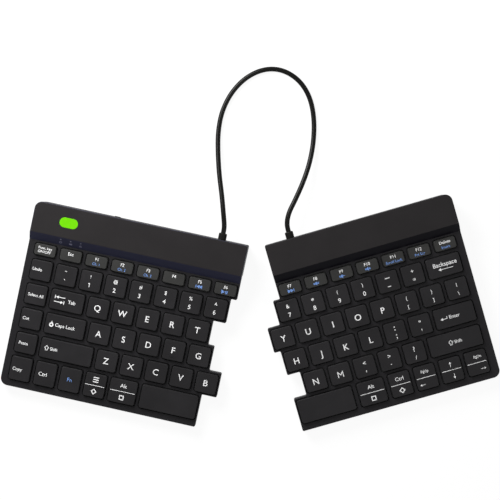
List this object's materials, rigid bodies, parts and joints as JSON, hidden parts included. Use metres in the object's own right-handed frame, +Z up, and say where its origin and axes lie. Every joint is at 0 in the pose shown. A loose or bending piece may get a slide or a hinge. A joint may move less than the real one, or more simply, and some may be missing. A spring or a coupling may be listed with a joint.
{
  "type": "ergonomic split keyboard",
  "caption": "Split computer keyboard: two wedge-shaped halves with stepped low keys and a raised rear bar, turned outward and linked by a looped cable.",
  "frame": {"origin": "middle of the footprint of the two halves, without the cable, on the desk", "axes": "+X to the user's right along the longest extent, +Y away from the user, +Z up"},
  "size_m": [0.3714, 0.2724, 0.0205],
  "materials": {
    "housing": "fine matt texture, warm black",
    "keycap": "smooth matt, near black",
    "soft_feet": "matt rubber",
    "screw_steel": "black-zinc steel",
    "plate_steel": "stamped steel",
    "contact_film": "clear printed film",
    "dome_rubber": "translucent silicone",
    "link_plastic": "white nylon",
    "board": "green solder mask",
    "socket_metal": "plated shell",
    "cell": "foil pouch",
    "lime_lens": "lit lime green",
    "status_lens": "smoked, unlit",
    "cable_jacket": "glossy black jacket",
    "knob": "black",
    "legend_white": "white print",
    "legend_blue": "blue print"
  },
  "bodies": {
    "left_half": {"left_deck_frame": "housing", "left_bar_cover": "housing", "left_base": "housing", "left_feet": "soft_feet", "left_screws": "screw_steel", "left_support_plate": "plate_steel", "left_membrane": "contact_film", "left_domes": "dome_rubber", "left_scissor_links": "link_plastic", "left_cable_gland": "cable_jacket", "circuit_board": "board", "charging_socket": "socket_metal", "battery": "cell", "indicator_lens": "lime_lens", "status_lights": "status_lens", "link_cable": "cable_jacket"},
    "right_half": {"right_deck_frame": "housing", "right_bar_cover": "housing", "right_base": "housing", "right_feet": "soft_feet", "right_screws": "screw_steel", "right_support_plate": "plate_steel", "right_membrane": "contact_film", "right_domes": "dome_rubber", "right_scissor_links": "link_plastic", "right_cable_gland": "cable_jacket", "link_board": "board"},
    "switch_knob": {"power_switch": "knob"},
    "left_function_bank": {"left_function_keys": "keycap"},
    "undo_key_cap": {"undo_key": "keycap"},
    "left_number_bank": {"left_number_keys": "keycap"},
    "select_all_key_cap": {"select_all_key": "keycap"},
    "tab_key_cap": {"tab_key": "keycap"},
    "qwert_bank": {"qwert_keys": "keycap"},
    "cut_key_cap": {"cut_key": "keycap"},
    "caps_lock_key_cap": {"caps_lock_key": "keycap"},
    "asdfg_bank": {"asdfg_keys": "keycap"},
    "paste_key_cap": {"paste_key": "keycap"},
    "left_shift_key_cap": {"left_shift_key": "keycap"},
    "zxcvb_bank": {"zxcvb_keys": "keycap"},
    "copy_key_cap": {"copy_key": "keycap"},
    "left_ctrl_key_cap": {"left_ctrl_key": "keycap"},
    "fn_key_cap": {"fn_key": "keycap"},
    "menu_key_cap": {"menu_key": "keycap"},
    "left_alt_key_cap": {"left_alt_key": "keycap"},
    "left_space_key_cap": {"left_space_key": "keycap"},
    "right_function_bank": {"right_function_keys": "keycap"},
    "right_number_bank": {"right_number_keys": "keycap"},
    "backspace_key_cap": {"backspace_key": "keycap"},
    "yuiop_bank": {"yuiop_keys": "keycap"},
    "hjkl_bank": {"hjkl_keys": "keycap"},
    "enter_key_cap": {"enter_key": "keycap"},
    "nm_bank": {"nm_keys": "keycap"},
    "right_shift_key_cap": {"right_shift_key": "keycap"},
    "right_space_key_cap": {"right_space_key": "keycap"},
    "right_alt_key_cap": {"right_alt_key": "keycap"},
    "right_ctrl_key_cap": {"right_ctrl_key": "keycap"},
    "left_arrow_key_cap": {"left_arrow_key": "keycap"},
    "up_down_key_cap": {"up_down_key": "keycap"},
    "right_arrow_key_cap": {"right_arrow_key": "keycap"}
  },
  "joints": [
    {"name": "halves_slide", "type": "slide", "parent": "left_half", "child": "right_half", "axis": [1, 0, 0], "range_m": [-0.008, 0.05], "deforming": ["link_cable"]},
    {"name": "power_switch_slide", "type": "slide", "parent": "left_half", "child": "switch_knob", "axis": [0.9772, -0.2122, 0], "range_m": [0, 0.002]},
    {"name": "left_function_keys_press", "type": "slide", "parent": "left_half", "child": "left_function_bank", "axis": [-0.0111, -0.0511, 0.9986], "range_m": [-0.002, 0], "stiffness_N_per_m": 200, "springref_m": 0.001, "deforming": ["left_domes", "left_scissor_links"]},
    {"name": "undo_key_press", "type": "slide", "parent": "left_half", "child": "undo_key_cap", "axis": [-0.0111, -0.0511, 0.9986], "range_m": [-0.002, 0], "stiffness_N_per_m": 200, "springref_m": 0.001, "deforming": ["left_domes", "left_scissor_links"]},
    {"name": "left_number_keys_press", "type": "slide", "parent": "left_half", "child": "left_number_bank", "axis": [-0.0111, -0.0511, 0.9986], "range_m": [-0.002, 0], "stiffness_N_per_m": 200, "springref_m": 0.001, "deforming": ["left_domes", "left_scissor_links"]},
    {"name": "select_all_key_press", "type": "slide", "parent": "left_half", "child": "select_all_key_cap", "axis": [-0.0111, -0.0511, 0.9986], "range_m": [-0.002, 0], "stiffness_N_per_m": 200, "springref_m": 0.001, "deforming": ["left_domes", "left_scissor_links"]},
    {"name": "tab_key_press", "type": "slide", "parent": "left_half", "child": "tab_key_cap", "axis": [-0.0111, -0.0511, 0.9986], "range_m": [-0.002, 0], "stiffness_N_per_m": 200, "springref_m": 0.001, "deforming": ["left_domes", "left_scissor_links"]},
    {"name": "qwert_keys_press", "type": "slide", "parent": "left_half", "child": "qwert_bank", "axis": [-0.0111, -0.0511, 0.9986], "range_m": [-0.002, 0], "stiffness_N_per_m": 200, "springref_m": 0.001, "deforming": ["left_domes", "left_scissor_links"]},
    {"name": "cut_key_press", "type": "slide", "parent": "left_half", "child": "cut_key_cap", "axis": [-0.0111, -0.0511, 0.9986], "range_m": [-0.002, 0], "stiffness_N_per_m": 200, "springref_m": 0.001, "deforming": ["left_domes", "left_scissor_links"]},
    {"name": "caps_lock_key_press", "type": "slide", "parent": "left_half", "child": "caps_lock_key_cap", "axis": [-0.0111, -0.0511, 0.9986], "range_m": [-0.002, 0], "stiffness_N_per_m": 200, "springref_m": 0.001, "deforming": ["left_domes", "left_scissor_links"]},
    {"name": "asdfg_keys_press", "type": "slide", "parent": "left_half", "child": "asdfg_bank", "axis": [-0.0111, -0.0511, 0.9986], "range_m": [-0.002, 0], "stiffness_N_per_m": 200, "springref_m": 0.001, "deforming": ["left_domes", "left_scissor_links"]},
    {"name": "paste_key_press", "type": "slide", "parent": "left_half", "child": "paste_key_cap", "axis": [-0.0111, -0.0511, 0.9986], "range_m": [-0.002, 0], "stiffness_N_per_m": 200, "springref_m": 0.001, "deforming": ["left_domes", "left_scissor_links"]},
    {"name": "left_shift_key_press", "type": "slide", "parent": "left_half", "child": "left_shift_key_cap", "axis": [-0.0111, -0.0511, 0.9986], "range_m": [-0.002, 0], "stiffness_N_per_m": 200, "springref_m": 0.001, "deforming": ["left_domes", "left_scissor_links"]},
    {"name": "zxcvb_keys_press", "type": "slide", "parent": "left_half", "child": "zxcvb_bank", "axis": [-0.0111, -0.0511, 0.9986], "range_m": [-0.002, 0], "stiffness_N_per_m": 200, "springref_m": 0.001, "deforming": ["left_domes", "left_scissor_links"]},
    {"name": "copy_key_press", "type": "slide", "parent": "left_half", "child": "copy_key_cap", "axis": [-0.0111, -0.0511, 0.9986], "range_m": [-0.002, 0], "stiffness_N_per_m": 200, "springref_m": 0.001, "deforming": ["left_domes", "left_scissor_links"]},
    {"name": "left_ctrl_key_press", "type": "slide", "parent": "left_half", "child": "left_ctrl_key_cap", "axis": [-0.0111, -0.0511, 0.9986], "range_m": [-0.002, 0], "stiffness_N_per_m": 200, "springref_m": 0.001, "deforming": ["left_domes", "left_scissor_links"]},
    {"name": "fn_key_press", "type": "slide", "parent": "left_half", "child": "fn_key_cap", "axis": [-0.0111, -0.0511, 0.9986], "range_m": [-0.002, 0], "stiffness_N_per_m": 200, "springref_m": 0.001, "deforming": ["left_domes", "left_scissor_links"]},
    {"name": "menu_key_press", "type": "slide", "parent": "left_half", "child": "menu_key_cap", "axis": [-0.0111, -0.0511, 0.9986], "range_m": [-0.002, 0], "stiffness_N_per_m": 200, "springref_m": 0.001, "deforming": ["left_domes", "left_scissor_links"]},
    {"name": "left_alt_key_press", "type": "slide", "parent": "left_half", "child": "left_alt_key_cap", "axis": [-0.0111, -0.0511, 0.9986], "range_m": [-0.002, 0], "stiffness_N_per_m": 200, "springref_m": 0.001, "deforming": ["left_domes", "left_scissor_links"]},
    {"name": "left_space_key_press", "type": "slide", "parent": "left_half", "child": "left_space_key_cap", "axis": [-0.0111, -0.0511, 0.9986], "range_m": [-0.002, 0], "stiffness_N_per_m": 200, "springref_m": 0.001, "deforming": ["left_domes", "left_scissor_links"]},
    {"name": "right_function_keys_press", "type": "slide", "parent": "right_half", "child": "right_function_bank", "axis": [0.0143, -0.0503, 0.9986], "range_m": [-0.002, 0], "stiffness_N_per_m": 200, "springref_m": 0.001, "deforming": ["right_domes", "right_scissor_links"]},
    {"name": "right_number_keys_press", "type": "slide", "parent": "right_half", "child": "right_number_bank", "axis": [0.0143, -0.0503, 0.9986], "range_m": [-0.002, 0], "stiffness_N_per_m": 200, "springref_m": 0.001, "deforming": ["right_domes", "right_scissor_links"]},
    {"name": "backspace_key_press", "type": "slide", "parent": "right_half", "child": "backspace_key_cap", "axis": [0.0143, -0.0503, 0.9986], "range_m": [-0.002, 0], "stiffness_N_per_m": 200, "springref_m": 0.001, "deforming": ["right_domes", "right_scissor_links"]},
    {"name": "yuiop_keys_press", "type": "slide", "parent": "right_half", "child": "yuiop_bank", "axis": [0.0143, -0.0503, 0.9986], "range_m": [-0.002, 0], "stiffness_N_per_m": 200, "springref_m": 0.001, "deforming": ["right_domes", "right_scissor_links"]},
    {"name": "hjkl_keys_press", "type": "slide", "parent": "right_half", "child": "hjkl_bank", "axis": [0.0143, -0.0503, 0.9986], "range_m": [-0.002, 0], "stiffness_N_per_m": 200, "springref_m": 0.001, "deforming": ["right_domes", "right_scissor_links"]},
    {"name": "enter_key_press", "type": "slide", "parent": "right_half", "child": "enter_key_cap", "axis": [0.0143, -0.0503, 0.9986], "range_m": [-0.002, 0], "stiffness_N_per_m": 200, "springref_m": 0.001, "deforming": ["right_domes", "right_scissor_links"]},
    {"name": "nm_keys_press", "type": "slide", "parent": "right_half", "child": "nm_bank", "axis": [0.0143, -0.0503, 0.9986], "range_m": [-0.002, 0], "stiffness_N_per_m": 200, "springref_m": 0.001, "deforming": ["right_domes", "right_scissor_links"]},
    {"name": "right_shift_key_press", "type": "slide", "parent": "right_half", "child": "right_shift_key_cap", "axis": [0.0143, -0.0503, 0.9986], "range_m": [-0.002, 0], "stiffness_N_per_m": 200, "springref_m": 0.001, "deforming": ["right_domes", "right_scissor_links"]},
    {"name": "right_space_key_press", "type": "slide", "parent": "right_half", "child": "right_space_key_cap", "axis": [0.0143, -0.0503, 0.9986], "range_m": [-0.002, 0], "stiffness_N_per_m": 200, "springref_m": 0.001, "deforming": ["right_domes", "right_scissor_links"]},
    {"name": "right_alt_key_press", "type": "slide", "parent": "right_half", "child": "right_alt_key_cap", "axis": [0.0143, -0.0503, 0.9986], "range_m": [-0.002, 0], "stiffness_N_per_m": 200, "springref_m": 0.001, "deforming": ["right_domes", "right_scissor_links"]},
    {"name": "right_ctrl_key_press", "type": "slide", "parent": "right_half", "child": "right_ctrl_key_cap", "axis": [0.0143, -0.0503, 0.9986], "range_m": [-0.002, 0], "stiffness_N_per_m": 200, "springref_m": 0.001, "deforming": ["right_domes", "right_scissor_links"]},
    {"name": "left_arrow_key_press", "type": "slide", "parent": "right_half", "child": "left_arrow_key_cap", "axis": [0.0143, -0.0503, 0.9986], "range_m": [-0.002, 0], "stiffness_N_per_m": 200, "springref_m": 0.001, "deforming": ["right_domes", "right_scissor_links"]},
    {"name": "up_down_key_press", "type": "slide", "parent": "right_half", "child": "up_down_key_cap", "axis": [0.0143, -0.0503, 0.9986], "range_m": [-0.002, 0], "stiffness_N_per_m": 200, "springref_m": 0.001, "deforming": ["right_domes", "right_scissor_links"]},
    {"name": "right_arrow_key_press", "type": "slide", "parent": "right_half", "child": "right_arrow_key_cap", "axis": [0.0143, -0.0503, 0.9986], "range_m": [-0.002, 0], "stiffness_N_per_m": 200, "springref_m": 0.001, "deforming": ["right_domes", "right_scissor_links"]}
  ]
}
